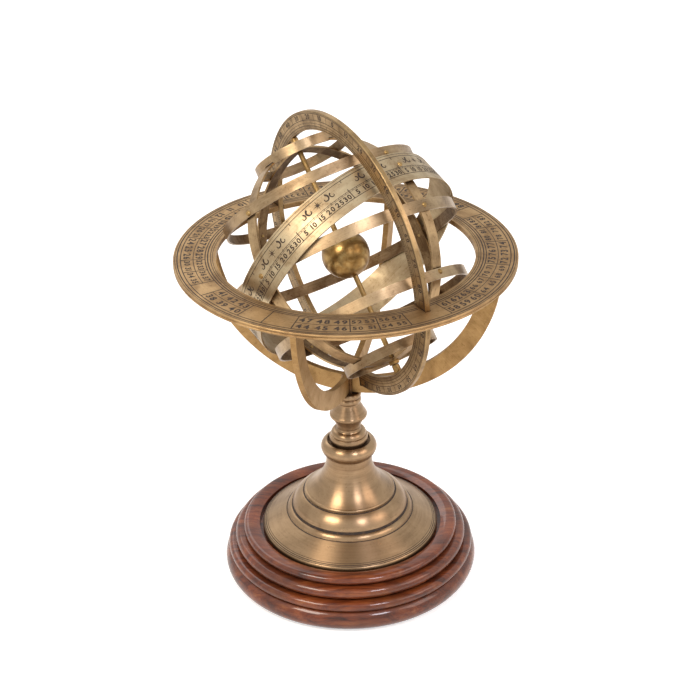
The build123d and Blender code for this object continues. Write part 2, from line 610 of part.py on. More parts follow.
# Rivets, in groups: (name, places as direction, height, inner end, outer face, spacer)
tropic_outer = tropic_inner + STRIP_THICKNESS
tropic_back = sqrt((COLURE_RADIUS - STRIP_THICKNESS) ** 2 - (rivet_height + RIVET_DIAMETER / 2) ** 2)
equator_outer = equator_inner + STRIP_THICKNESS
zodiac_outer = zodiac_inner + STRIP_THICKNESS
strip_back = COLURE_RADIUS - STRIP_THICKNESS
groups = (
    ("north_tropic_rivets", [(d, rivet_height, tropic_back, tropic_outer) for d in quarters]),
    ("south_tropic_rivets", [(d, -rivet_height, tropic_back, tropic_outer) for d in quarters]),
    ("equator_rivets", [(d, 0, strip_back, equator_outer) for d in (solstice, solstice * -1)]),
    ("equinox_rivets", [(d, 0, strip_back, zodiac_outer) for d in (equinox, equinox * -1)]),
    ("solstice_rivets", [(d, 0, strip_back, zodiac_outer) for d in (summer, summer * -1)]),
)
for name, places in groups:
    with BuildPart() as rivets:
        for direction, height, back, face in places:
            with BuildSketch(rivet_plane(direction, height, back) if height else ray_plane(direction, back)):
                Circle(RIVET_DIAMETER / 2)
            extrude(amount=face - back)
            foot = centre + pole * height + direction * face
            with BuildSketch(Plane(origin=foot, z_dir=direction)):
                Circle(RIVET_HEAD_DIAMETER / 2)
            extrude(amount=RIVET_HEAD_HEIGHT, taper=35)
    rivets.part.label = name
    export_step(rivets.part, f"parts/{name}.step")
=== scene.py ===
"""Table armillary sphere: finishes, engraving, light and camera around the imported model."""
import json
from math import atan2, cos, degrees, pi, radians, sin

import bpy
from mathutils import Matrix, Vector

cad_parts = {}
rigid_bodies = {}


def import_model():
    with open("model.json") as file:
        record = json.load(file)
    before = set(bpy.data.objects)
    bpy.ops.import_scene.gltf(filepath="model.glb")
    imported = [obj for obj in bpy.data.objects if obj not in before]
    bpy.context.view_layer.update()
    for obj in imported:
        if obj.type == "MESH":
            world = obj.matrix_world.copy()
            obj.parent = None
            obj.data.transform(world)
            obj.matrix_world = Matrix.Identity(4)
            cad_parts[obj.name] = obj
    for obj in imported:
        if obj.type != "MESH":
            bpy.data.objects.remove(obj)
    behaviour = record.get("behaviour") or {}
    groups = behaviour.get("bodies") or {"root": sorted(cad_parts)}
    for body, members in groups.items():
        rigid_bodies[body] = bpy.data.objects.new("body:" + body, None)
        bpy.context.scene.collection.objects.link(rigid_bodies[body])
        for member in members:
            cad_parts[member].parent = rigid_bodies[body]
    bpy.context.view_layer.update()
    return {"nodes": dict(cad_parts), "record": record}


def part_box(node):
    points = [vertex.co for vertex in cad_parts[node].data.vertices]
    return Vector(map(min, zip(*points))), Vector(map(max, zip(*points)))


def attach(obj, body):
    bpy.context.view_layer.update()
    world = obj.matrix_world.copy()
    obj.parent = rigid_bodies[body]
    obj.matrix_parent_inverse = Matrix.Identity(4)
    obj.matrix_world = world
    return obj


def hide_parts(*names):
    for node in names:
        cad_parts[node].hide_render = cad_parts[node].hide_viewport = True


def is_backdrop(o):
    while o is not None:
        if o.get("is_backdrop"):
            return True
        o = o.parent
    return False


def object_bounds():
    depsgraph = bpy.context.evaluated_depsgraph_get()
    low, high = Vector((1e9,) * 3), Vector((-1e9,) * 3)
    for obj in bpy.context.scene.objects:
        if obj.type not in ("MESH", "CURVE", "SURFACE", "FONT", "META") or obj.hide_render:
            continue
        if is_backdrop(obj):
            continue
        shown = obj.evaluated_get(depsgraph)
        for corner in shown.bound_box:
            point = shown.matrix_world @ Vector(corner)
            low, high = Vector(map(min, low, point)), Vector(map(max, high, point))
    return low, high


for leftover in list(bpy.data.objects):
    bpy.data.objects.remove(leftover)
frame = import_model()

MM = 0.001
nodes = frame["nodes"]


def linear(code):
    """An sRGB hex colour as linear red, green, blue and alpha."""
    channels = [int(code[i:i + 2], 16) / 255 for i in (1, 3, 5)]
    return tuple(c / 12.92 if c <= 0.04045 else ((c + 0.055) / 1.055) ** 2.4 for c in channels) + (1.0,)


# ---- where the rings sit, from the model's own joints
joints = {joint["name"]: joint for joint in frame["record"]["behaviour"]["joints"]}
centre = Vector(joints["latitude_turn"]["pos_m"])
right = Vector((1, 0, 0))
up = Vector((0, 0, 1))
meridian_normal = Vector(joints["latitude_turn"]["axis"]).normalized()
pole = Vector(joints["daily_turn"]["axis"]).normalized()
meridian_top = (up - meridian_normal * up.dot(meridian_normal)).normalized()
SPHERE_TURN = radians(21.9)
ZODIAC_TILT = radians(22.5)
equator_top = meridian_normal.cross(pole)
equator_side = pole.cross(equator_top)
solstice = equator_top * cos(SPHERE_TURN) + equator_side * sin(SPHERE_TURN)
equinox = pole.cross(solstice)
summer = solstice * cos(ZODIAC_TILT) + pole * sin(ZODIAC_TILT)
zodiac_pole = pole * cos(ZODIAC_TILT) - solstice * sin(ZODIAC_TILT)


def axes(along, first):
    """A rotation whose Z is a ring's axis and whose X lies in the ring."""
    z = along.normalized()
    x = (first - z * first.dot(z)).normalized()
    return Matrix((x, z.cross(x), z)).transposed()


def reach(node, along):
    """How far a ring stands out from its axis."""
    spots = [vertex.co - centre for vertex in nodes[node].data.vertices]
    return max((spot - along * spot.dot(along)).length for spot in spots)


def half_width(node, along):
    """How far a ring stands out along its axis."""
    return max(abs((vertex.co - centre).dot(along)) for vertex in nodes[node].data.vertices)


# ---- materials
def add(tree, kind, inputs=None, stops=None, **settings):
    """One node with its settings; a socket is linked and any other value is set."""
    node = tree.nodes.new(kind)
    for name, value in settings.items():
        setattr(node, name, value)
    if stops:
        ramp = node.color_ramp
        ramp.elements.remove(ramp.elements[1])
        ramp.elements[0].position, ramp.elements[0].color = stops[0]
        for place, colour in stops[1:]:
            ramp.elements.new(place).color = colour
    for name, value in (inputs or {}).items():
        if isinstance(value, bpy.types.NodeSocket):
            tree.links.new(value, node.inputs[name])
        else:
            node.inputs[name].default_value = value
    return node


def grey(value):
    """A grey as a colour value."""
    return (value, value, value, 1.0)


def blank(name):
    """An empty node material and its output node."""
    material = bpy.data.materials.new(name)
    material.use_nodes = True
    material.node_tree.nodes.clear()
    output = material.node_tree.nodes.new("ShaderNodeOutputMaterial")
    return material, material.node_tree, output


# real brush marks are about 0.1 mm wide; brush_mm draws them 0.3 to 0.5 mm wide, so that they show
BRUSH_STRETCH = 40  # a mark is this many times as long as it is wide
MARK_DEPTH = 0.03 * MM
SPOT_SIZE = 1.3 * MM
CORNER_SHADE_REACH = 3.5 * MM
RUBBING_AND_HIGHLIGHT_RADIUS = 0.35 * MM
# how far each kind of tarnish browns the brass, of 1, and how much rougher it is than clean metal
CLOUD_BROWNS, STREAK_BROWNS, SPOT_BROWNS = 0.55, 0.22, 0.3
TARNISH_ROUGHENS = 0.2
# light smears across brush marks, a quarter turn from them
ACROSS_THE_BRUSHING = 0.25


def brass(name, bright, tarnish, along, first, *, roughness, brushed, brush_mm, cloud_mm, turned=False, edge_wear_and_highlight=0.5,
          corner_shade=0.8, mottle=1.0, inner_face_shade=0.0):
    """Aged brass. The brush marks follow the ring, and old tarnish lies in clouds and in spots.
    Corners close to other surfaces are darkened as painted shade, inner faces can be darkened as painted shade,
    and edges are brightened, partly as handling wear and partly as painted highlight."""
    material, tree, output = blank(name)
    spot = add(tree, "ShaderNodeTexCoord").outputs["Object"]
    ring = add(tree, "ShaderNodeMapping",
               {"Vector": spot, "Location": centre, "Rotation": axes(along, first).to_euler()},
               vector_type="TEXTURE").outputs[0]
    parts = add(tree, "ShaderNodeSeparateXYZ", {0: ring})
    flat = add(tree, "ShaderNodeCombineXYZ", {0: parts.outputs[0], 1: parts.outputs[1]}).outputs[0]
    radius = add(tree, "ShaderNodeVectorMath", {0: flat}, operation="LENGTH").outputs["Value"]
    across = add(tree, "ShaderNodeMath", {0: radius, 1: parts.outputs[2]}, operation="ADD").outputs[0]
    # brush marks: fine across the strip and long around it
    fine = add(tree, "ShaderNodeMath", {0: across, 1: 1 / (brush_mm * MM)}, operation="MULTIPLY").outputs[0]
    slow = add(tree, "ShaderNodeVectorMath", {0: flat, 1: (1 / (BRUSH_STRETCH * brush_mm * MM),) * 3},
               operation="MULTIPLY").outputs[0]
    slow = add(tree, "ShaderNodeSeparateXYZ", {0: slow})
    marks_at = add(tree, "ShaderNodeCombineXYZ", {0: slow.outputs[0], 1: slow.outputs[1], 2: fine}).outputs[0]
    marks = add(tree, "ShaderNodeTexNoise",
                {"Vector": marks_at, "Scale": 1.0, "Detail": 3.0, "Roughness": 0.6}).outputs[0]
    # tarnish clouds, small spots, and streaks that follow the brush marks
    cloud = add(tree, "ShaderNodeTexNoise",
                {"Vector": spot, "Scale": 1 / (cloud_mm * MM), "Detail": 5.0, "Roughness": 0.62,
                 "Distortion": 0.6}).outputs[0]
    spots = add(tree, "ShaderNodeTexNoise", {"Vector": spot, "Scale": 1 / SPOT_SIZE, "Detail": 3.0}).outputs[0]
    cloud = add(tree, "ShaderNodeValToRGB", {0: cloud}, stops=[(0.38, grey(0.0)), (0.66, grey(1.0))]).outputs[0]
    spots = add(tree, "ShaderNodeValToRGB", {0: spots}, stops=[(0.58, grey(0.0)), (0.74, grey(1.0))]).outputs[0]
    streak = add(tree, "ShaderNodeValToRGB", {0: marks}, stops=[(0.35, grey(0.0)), (0.7, grey(1.0))]).outputs[0]
    # painted shade darkens the corners, where the ambient occlusion finds other surfaces close by; edges are
    # brightened, partly as handling wear and partly as painted highlight
    corner = add(tree, "ShaderNodeAmbientOcclusion", {"Distance": CORNER_SHADE_REACH}, samples=6).outputs["AO"]
    corner = add(tree, "ShaderNodeValToRGB", {0: corner}, stops=[(0.25, grey(1.0)), (0.85, grey(0.0))]).outputs[0]
    edge_normal = add(tree, "ShaderNodeBevel", {"Radius": RUBBING_AND_HIGHLIGHT_RADIUS}, samples=4).outputs[0]
    face_normal = add(tree, "ShaderNodeNewGeometry").outputs["Normal"]
    edge = add(tree, "ShaderNodeVectorMath", {0: edge_normal, 1: face_normal},
               operation="DOT_PRODUCT").outputs["Value"]
    edge = add(tree, "ShaderNodeValToRGB", {0: edge}, stops=[(0.86, grey(1.0)), (0.985, grey(0.0))]).outputs[0]
    tarnish_and_shade = add(tree, "ShaderNodeMath", {0: cloud, 1: CLOUD_BROWNS * mottle}, operation="MULTIPLY").outputs[0]
    tarnish_and_shade = add(tree, "ShaderNodeMath", {0: streak, 1: STREAK_BROWNS, 2: tarnish_and_shade}, operation="MULTIPLY_ADD").outputs[0]
    tarnish_and_shade = add(tree, "ShaderNodeMath", {0: spots, 1: SPOT_BROWNS * mottle, 2: tarnish_and_shade},
              operation="MULTIPLY_ADD").outputs[0]
    tarnish_and_shade = add(tree, "ShaderNodeMath", {0: corner, 1: corner_shade, 2: tarnish_and_shade},
              operation="MULTIPLY_ADD", use_clamp=True).outputs[0]
    # painted shade on the faces turned toward the middle of the sphere, so the inner faces of the strips are browner
    outward = add(tree, "ShaderNodeNewGeometry").outputs["Position"]
    outward = add(tree, "ShaderNodeVectorMath", {0: outward, 1: centre}, operation="SUBTRACT").outputs[0]
    away = add(tree, "ShaderNodeVectorMath", {0: outward}, operation="NORMALIZE").outputs[0]
    away = add(tree, "ShaderNodeVectorMath", {0: away, 1: face_normal}, operation="DOT_PRODUCT").outputs["Value"]
    away = add(tree, "ShaderNodeMapRange",
               {"Value": away, "From Min": -0.2, "From Max": -0.7, "To Min": 0.0, "To Max": inner_face_shade}).outputs[0]
    tarnish_and_shade = add(tree, "ShaderNodeMath", {0: tarnish_and_shade, 1: away}, operation="ADD", use_clamp=True).outputs[0]
    # bright edges: partly handling wear, partly painted highlight
    edge_rubbing_and_highlight = add(tree, "ShaderNodeMath", {0: edge, 1: edge_wear_and_highlight}, operation="MULTIPLY").outputs[0]
    tarnish_and_shade = add(tree, "ShaderNodeMath", {0: tarnish_and_shade, 1: edge_rubbing_and_highlight}, operation="SUBTRACT", use_clamp=True).outputs[0]
    colour = add(tree, "ShaderNodeMix", {"Factor": tarnish_and_shade, "A": linear(bright), "B": linear(tarnish)},
                 data_type="RGBA").outputs["Result"]
    rough = add(tree, "ShaderNodeMapRange",
                {"Value": tarnish_and_shade, "To Min": roughness, "To Max": roughness + TARNISH_ROUGHENS}).outputs[0]
    bump = add(tree, "ShaderNodeBump", {"Height": marks, "Strength": 0.35, "Distance": MARK_DEPTH}).outputs[0]
    if turned:
        tangent = add(tree, "ShaderNodeTangent", direction_type="RADIAL", axis="Z").outputs[0]
    else:
        world_axis = add(tree, "ShaderNodeVectorTransform", {0: along},
                         vector_type="VECTOR", convert_from="OBJECT", convert_to="WORLD").outputs[0]
        tangent = add(tree, "ShaderNodeVectorMath", {0: world_axis, 1: outward},
                      operation="CROSS_PRODUCT").outputs[0]
        tangent = add(tree, "ShaderNodeVectorMath", {0: tangent}, operation="NORMALIZE").outputs[0]
    shader = add(tree, "ShaderNodeBsdfPrincipled",
                 {"Base Color": colour, "Roughness": rough, "Normal": bump, "Tangent": tangent, "Metallic": 1.0,
                  "Anisotropic": brushed, "Anisotropic Rotation": ACROSS_THE_BRUSHING})
    tree.links.new(shader.outputs[0], output.inputs[0])
    return material


STREAK_LENGTH, STREAK_WIDTH = 40 * MM, 5 * MM
# a real pore is about 0.2 mm wide; it is drawn wider, so that it shows
PORE_LENGTH, PORE_WIDTH = 14 * MM, 0.45 * MM
SWAY_LENGTH, SWAY_WIDTH = 38 * MM, 7 * MM
HEARTWOOD_SIZE = 30 * MM
CREVICE_REACH = 5 * MM
LACQUER_RIPPLE = 2.5 * MM
WOOD_RELIEF = 0.05 * MM


def lacquered_rosewood():
    """Rosewood turned from one block, grain along X: reddish brown with dark streaks a few millimetres wide,
    under a gloss lacquer that mirrors the lights on each roll."""
    material, tree, output = blank("lacquered_rosewood")
    spot = add(tree, "ShaderNodeTexCoord").outputs["Object"]
    sway = add(tree, "ShaderNodeTexNoise", {"Vector": spot, "Scale": 1 / SWAY_LENGTH, "Detail": 2.0}).outputs["Color"]
    sway = add(tree, "ShaderNodeVectorMath", {0: sway, 1: (0.0, SWAY_WIDTH, SWAY_WIDTH)},
               operation="MULTIPLY").outputs[0]
    bent = add(tree, "ShaderNodeVectorMath", {0: spot, 1: sway}, operation="ADD").outputs[0]
    plank = add(tree, "ShaderNodeMapping",
                {"Vector": bent, "Scale": (1 / STREAK_LENGTH, 1 / STREAK_WIDTH, 1 / STREAK_WIDTH)}).outputs[0]
    figure = add(tree, "ShaderNodeTexNoise",
                 {"Vector": plank, "Scale": 1.0, "Detail": 8.0, "Roughness": 0.72, "Distortion": 0.5}).outputs[0]
    fibre = add(tree, "ShaderNodeMapping",
                {"Vector": bent, "Scale": (1 / PORE_LENGTH, 1 / PORE_WIDTH, 1 / PORE_WIDTH)}).outputs[0]
    pores = add(tree, "ShaderNodeTexNoise", {"Vector": fibre, "Scale": 1.0, "Detail": 3.0}).outputs[0]
    colour = add(tree, "ShaderNodeValToRGB", {0: figure},
                 stops=[(0.30, linear("#2a1209")), (0.40, linear("#542512")), (0.49, linear("#763819")),
                        (0.60, linear("#8a4a25")), (0.72, linear("#9c6234"))]).outputs[0]
    # darker heartwood lies in broad patches
    heart = add(tree, "ShaderNodeTexNoise",
                {"Vector": bent, "Scale": 1 / HEARTWOOD_SIZE, "Detail": 3.0, "Roughness": 0.6}).outputs[0]
    heart = add(tree, "ShaderNodeValToRGB", {0: heart}, stops=[(0.42, grey(0.0)), (0.64, grey(0.62))]).outputs[0]
    pore = add(tree, "ShaderNodeValToRGB", {0: pores}, stops=[(0.58, grey(0.0)), (0.70, grey(0.4))]).outputs[0]
    # painted shade in the crevices between the rolls, where the ambient occlusion finds other surfaces close by
    corner = add(tree, "ShaderNodeAmbientOcclusion", {"Distance": CREVICE_REACH}, samples=6).outputs["AO"]
    corner = add(tree, "ShaderNodeValToRGB", {0: corner}, stops=[(0.15, grey(0.5)), (0.7, grey(0.0))]).outputs[0]
    for mask, darker in ((heart, "#43200f"), (pore, "#220d09"), (corner, "#1b0a07")):
        colour = add(tree, "ShaderNodeMix", {"Factor": mask, "A": colour, "B": linear(darker)},
                     data_type="RGBA").outputs["Result"]
    ripple = add(tree, "ShaderNodeTexNoise", {"Vector": spot, "Scale": 1 / LACQUER_RIPPLE, "Detail": 1.0}).outputs[0]
    lacquer = add(tree, "ShaderNodeBump", {"Height": ripple, "Strength": 0.12, "Distance": WOOD_RELIEF}).outputs[0]
    grain = add(tree, "ShaderNodeBump", {"Height": pores, "Strength": 0.3, "Distance": WOOD_RELIEF}).outputs[0]
    shader = add(tree, "ShaderNodeBsdfPrincipled",
                 {"Base Color": colour, "Normal": grain, "Coat Normal": lacquer, "Roughness": 0.5,
                  "Specular IOR Level": 0.15, "Coat Weight": 0.75, "Coat Roughness": 0.09})
    tree.links.new(shader.outputs[0], output.inputs[0])
    return material


GLOBE_CLOUD, GLOBE_DENT, DENT_DEPTH = 5 * MM, 2.2 * MM, 0.04 * MM


def polished_globe_brass():
    """The little globe: brass polished on a buff and clouded by handling, so the lights show as sharp spots
    on a mottled brown and gold ball."""
    material, tree, output = blank("polished_globe_brass")
    spot = add(tree, "ShaderNodeTexCoord").outputs["Object"]
    cloud = add(tree, "ShaderNodeTexNoise",
                {"Vector": spot, "Scale": 1 / GLOBE_CLOUD, "Detail": 6.0, "Roughness": 0.65,
                 "Distortion": 0.8}).outputs[0]
    colour = add(tree, "ShaderNodeValToRGB", {0: cloud},
                 stops=[(0.30, linear("#78582c")), (0.48, linear("#927243")), (0.62, linear("#a48756")),
                        (0.78, linear("#b1996c"))]).outputs[0]
    rough = add(tree, "ShaderNodeMapRange",
                {"Value": cloud, "From Min": 0.3, "From Max": 0.75, "To Min": 0.36, "To Max": 0.25}).outputs[0]
    dents = add(tree, "ShaderNodeTexNoise", {"Vector": spot, "Scale": 1 / GLOBE_DENT, "Detail": 2.0}).outputs[0]
    bump = add(tree, "ShaderNodeBump", {"Height": dents, "Strength": 0.2, "Distance": DENT_DEPTH}).outputs[0]
    shader = add(tree, "ShaderNodeBsdfPrincipled",
                 {"Base Color": colour, "Roughness": rough, "Normal": bump, "Metallic": 1.0})
    tree.links.new(shader.outputs[0], output.inputs[0])
    return material


ZINC_CRYSTAL = 0.6 * MM


def zinc_plated_steel():
    """Screw stock and its nut under the base: bluish white zinc with small crystals."""
    material, tree, output = blank("zinc_plated_steel")
    spot = add(tree, "ShaderNodeTexCoord").outputs["Object"]
    crystals = add(tree, "ShaderNodeTexVoronoi", {"Vector": spot, "Scale": 1 / ZINC_CRYSTAL}).outputs["Color"]
    colour = add(tree, "ShaderNodeMix", {"Factor": 0.12, "A": linear("#b9bcbf"), "B": crystals},
                 data_type="RGBA").outputs["Result"]
    shader = add(tree, "ShaderNodeBsdfPrincipled", {"Base Color": colour, "Metallic": 1.0, "Roughness": 0.38})
    tree.links.new(shader.outputs[0], output.inputs[0])
    return material


OXIDE_PATCH = 2 * MM


def dark_oxide():
    """What fills the engraved lines: matt brown-black oxide, thin in places, so its grey changes along a line. It also
    colours the dark strips laid in the bell's grooves as painted shade.
    """
    material, tree, output = blank("dark_oxide_in_engraving")
    spot = add(tree, "ShaderNodeTexCoord").outputs["Object"]
    thin = add(tree, "ShaderNodeTexNoise", {"Vector": spot, "Scale": 1 / OXIDE_PATCH, "Detail": 3.0}).outputs[0]
    colour = add(tree, "ShaderNodeValToRGB", {0: thin},
                 stops=[(0.45, linear("#23170e")), (0.75, linear("#4a3521"))]).outputs[0]
    shader = add(tree, "ShaderNodeBsdfPrincipled", {"Base Color": colour, "Roughness": 0.7, "Metallic": 0.0})
    tree.links.new(shader.outputs[0], output.inputs[0])
    return material


finishes = {
    "wood_base": lacquered_rosewood(),
    "earth_globe": polished_globe_brass(),
    # sheet brass, engraved and wiped with oxide: soft dull metal with bright edges, partly handling wear and partly
    # painted highlight
    "horizon_ring": brass("engraved_sheet_brass_horizon", "#b09166", "#6e5235", up, right,
                          roughness=0.46, brushed=0.15, brush_mm=0.35, cloud_mm=16, edge_wear_and_highlight=0.7),
    "meridian_ring": brass("engraved_sheet_brass_meridian", "#aa8f66", "#654e33", meridian_normal, meridian_top,
                           roughness=0.38, brushed=0.3, brush_mm=0.35, cloud_mm=11, edge_wear_and_highlight=1.0),
    # strip rolled thin: streaky highlights that cross it, and inner faces darkened as painted shade
    "solstitial_colure": brass("rolled_strip_brass_solstitial", "#bc9f76", "#58422b", equinox, pole,
                               roughness=0.33, brushed=0.45, brush_mm=0.3, cloud_mm=13, inner_face_shade=0.6),
    "equinoctial_colure": brass("rolled_strip_brass_equinoctial", "#bc9f76", "#58422b", solstice, pole,
                                roughness=0.33, brushed=0.45, brush_mm=0.3, cloud_mm=13, inner_face_shade=0.6),
    # the widest strip, engraved and paler than the others
    "zodiac_band": brass("engraved_strip_brass_zodiac", "#beac8b", "#7b6141", zodiac_pole, summer,
                         roughness=0.39, brushed=0.4, brush_mm=0.4, cloud_mm=15, edge_wear_and_highlight=0.8),
}
# brushed on the lathe: long highlights that run up and down the profile, and heavy painted shade in the grooves
turned_brass = brass("turned_satin_brass", "#a68a6a", "#56412d", up, right, roughness=0.27, brushed=0.75,
                     brush_mm=0.5, cloud_mm=18, turned=True, edge_wear_and_highlight=0.8, corner_shade=1.2, mottle=0.55)
# filed and left matt, so the two arms show one even yellow
cradle_brass = brass("filed_brass_cradle", "#ae8d5e", "#80623d", up, right,
                     roughness=0.5, brushed=0.1, brush_mm=0.5, cloud_mm=12)
# the plain hoops, as the colures but smoother
strip_brass = brass("rolled_strip_brass", "#af9775", "#614a32", pole, solstice,
                    roughness=0.36, brushed=0.6, brush_mm=0.3, cloud_mm=14, inner_face_shade=0.4)
# pivots, rod, nuts and rivets: yellower, because their small faces are rubbed most
fitting_brass = brass("small_turned_brass", "#a98b59", "#705431", pole, solstice,
                      roughness=0.34, brushed=0.3, brush_mm=0.4, cloud_mm=5)
zinc = zinc_plated_steel()
oxide_and_step_shade = dark_oxide()
for finish, names in (
        (turned_brass, ("bell_foot", "stem_collar", "stem_baluster", "cradle_post")),
        (cradle_brass, ("front_cradle_arm", "side_cradle_arm")),
        (strip_brass, ("equator_band", "north_tropic_band", "south_tropic_band", "arctic_ring", "antarctic_ring")),
        (zinc, ("tie_rod", "base_washer", "base_nut"))):
    for name in names:
        finishes[name] = finish
for name, node in nodes.items():
    node.data.materials.clear()
    node.data.materials.append(finishes.get(name, fitting_brass))


# ---- engraving: thin dark lines and figures laid on the rings
LIFT = 0.04 * MM
STROKE_WEIGHT = 0.034  # the punches were bold
GLYPHS = {}


def glyph(character):
    """A character's flat outline as points and faces, one unit high and centred on its width, and the width."""
    if character not in GLYPHS:
        curve = bpy.data.curves.new("glyph", "FONT")
        curve.body = character
        curve.resolution_u = 3
        curve.offset = STROKE_WEIGHT
        letter = bpy.data.objects.new("glyph", curve)
        bpy.context.collection.objects.link(letter)
        bpy.context.view_layer.update()
        mesh = letter.evaluated_get(bpy.context.evaluated_depsgraph_get()).to_mesh()
        points = [(vertex.co.x, vertex.co.y) for vertex in mesh.vertices]
        faces = [tuple(face.vertices) for face in mesh.polygons]
        bpy.data.objects.remove(letter)
        bpy.data.curves.remove(curve)
        begin, end = min(p[0] for p in points), max(p[0] for p in points)
        low, high = min(p[1] for p in points), max(p[1] for p in points)
        tall = high - low
        middle = (begin + end) / 2
        outline = [((x - middle) / tall, (y - low) / tall - 0.5) for x, y in points]
        GLYPHS[character] = (outline, faces, (end - begin) / tall)
    return GLYPHS[character]


ARC_STEP = 2  # degrees between the points of a line round a ring
STAR_RAYS, STAR_SHORT_RAY, STAR_WAIST = 8, 0.62, 0.2
CURL_STEPS, CURL_START, CURL_HALF_TURNS = 18, 0.3, 1.5
CURL_SHRINK, CURL_WEIGHT, CURL_TAPER = 0.7, 0.24, 0.6


class Engraving:
    """Lines and figures on one face of a ring. Angles round the ring are in degrees, and places across it,
    sizes and the radius that they are drawn at are in millimetres. place turns an angle in radians and a
    place across in metres into a point. turn is -1 where characters run against the angle, and rise is -1
    where their tops point inward."""

    def __init__(self, place, turn=1, rise=1):
        self.place, self.turn, self.rise = place, turn, rise
        self.points, self.faces = [], []

    def patch(self, points, faces):
        start = len(self.points)
        self.points += [self.place(angle, across) for angle, across in points]
        self.faces += [tuple(start + corner for corner in face) for face in faces]

    def band(self, rows):
        """The faces between pairs of points, each pair one step further."""
        self.patch(rows, [(i, i + 1, i + 3, i + 2) for i in range(0, len(rows) - 2, 2)])

    def arc(self, begin, end, across, width):
        """A line round the ring."""
        across, width = across * MM, width * MM
        steps = max(2, round(abs(end - begin) / ARC_STEP))
        rows = []
        for i in range(steps + 1):
            angle = radians(begin + (end - begin) * i / steps)
            rows += [(angle, across - width / 2), (angle, across + width / 2)]
        self.band(rows)

    def bar(self, angle, inner, outer, width, radius):
        """A line across the ring."""
        angle, half = radians(angle), width / 2 / radius
        self.patch([(angle - half, inner * MM), (angle - half, outer * MM),
                    (angle + half, outer * MM), (angle + half, inner * MM)], [(0, 1, 2, 3)])

    def figures(self, text, angle, across, height, radius, stretch=1.0, gap=0.22):
        """A row of characters centred on an angle."""
        shapes = [glyph(character) for character in text]
        widths = [width * stretch for _, _, width in shapes]
        x = -(sum(widths) + gap * (len(text) - 1)) / 2
        for (outline, faces, _), width in zip(shapes, widths):
            self.patch([(radians(angle) + self.turn * (x + width / 2 + px * stretch) * height / radius,
                         (across + self.rise * py * height) * MM) for px, py in outline], faces)
            x += width + gap

    def star(self, angle, across, size, radius):
        """A plain star of long and short rays."""
        ring = []
        for i in range(STAR_RAYS * 2):
            ray = size if i % 4 == 0 else size * STAR_SHORT_RAY
            length = ray if i % 2 == 0 else size * STAR_WAIST
            turn = pi * i / STAR_RAYS
            ring.append((radians(angle) + length * sin(turn) / radius, (across + length * cos(turn)) * MM))
        self.patch(ring + [(radians(angle), across * MM)],
                   [(i, (i + 1) % len(ring), len(ring)) for i in range(len(ring))])

    def curl(self, angle, across, size, radius, way=1):
        """A small leaf scroll, drawn as a tapering spiral stroke."""
        rows = []
        for i in range(CURL_STEPS + 1):
            share = i / CURL_STEPS
            turn = way * (CURL_START + share * CURL_HALF_TURNS * pi)
            length = size * (1 - CURL_SHRINK * share)
            thick = size * CURL_WEIGHT * (1 - CURL_TAPER * share)
            for away in (length - thick, length + thick):
                rows.append((radians(angle) + away * sin(turn) / radius, (across + away * cos(turn)) * MM))
        self.band(rows)


def lay(name, body, slot, *engravings):
    """Makes one piece of the engraved lines and painted shade strips and lets it ride on a body."""
    mesh = bpy.data.meshes.new(name)
    points, faces = [], []
    for engraving in engravings:
        start = len(points)
        points += engraving.points
        faces += [tuple(start + corner for corner in face) for face in engraving.faces]
    mesh.from_pydata(points, [], faces)
    mesh.materials.append(oxide_and_step_shade)
    mesh.update()
    piece = bpy.data.objects.new(name, mesh)
    bpy.context.collection.objects.link(piece)
    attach(piece, body)


# ---- horizon ring: cells of figures between ruled circles, each circle given as radius and width
RIM_CIRCLES = ((87.9, 0.26), (86.8, 0.6), (85.0, 0.5))
INNER_CIRCLES = ((72.4, 0.5), (71.1, 0.6), (69.6, 0.34), (68.6, 0.26))
CELLS_INNER, CELLS_OUTER, CELLS_MIDDLE = 72.4, 85.0, 78.0
SPLIT_RADIUS, SPLIT_WIDTH, DIVIDER_WIDTH = 78.5, 0.36, 0.55
FIGURE_ROWS = (81.7, 75.4)
FIRST_FIGURE, LAST_FIGURE, FIGURE_STRETCH = 10, 99, 1.1
SLOT_HALF = 2.3  # degrees that the inner circles stop short of a slot's middle
WIDE, NUMBERS, PLAIN = "wide", "numbers", "plain"
FIGURE_HEIGHT = {WIDE: 3.9, NUMBERS: 3.2}
COLUMNS = {WIDE: (-0.33, 0, 0.33), NUMBERS: (-0.24, 0.24)}
# where each cell begins, and its kind; the last row only ends the one before
CELLS = ((-140, WIDE), (-121.4, NUMBERS), (-113, NUMBERS), (-103.7, WIDE), (-85.4, NUMBERS), (-75.9, NUMBERS),
         (-65.9, PLAIN), (-57.7, WIDE), (-38.7, PLAIN), (-29.2, PLAIN), (-18.4, WIDE), (1.1, NUMBERS),
         (11, NUMBERS), (21.6, PLAIN), (37, WIDE), (53.8, NUMBERS), (66, NUMBERS), (77.8, WIDE), (96.9, NUMBERS),
         (109.5, NUMBERS), (120.2, PLAIN), (128, WIDE), (147, NUMBERS), (157, NUMBERS), (167, WIDE),
         (186, NUMBERS), (196, NUMBERS), (206, PLAIN), (220, None))

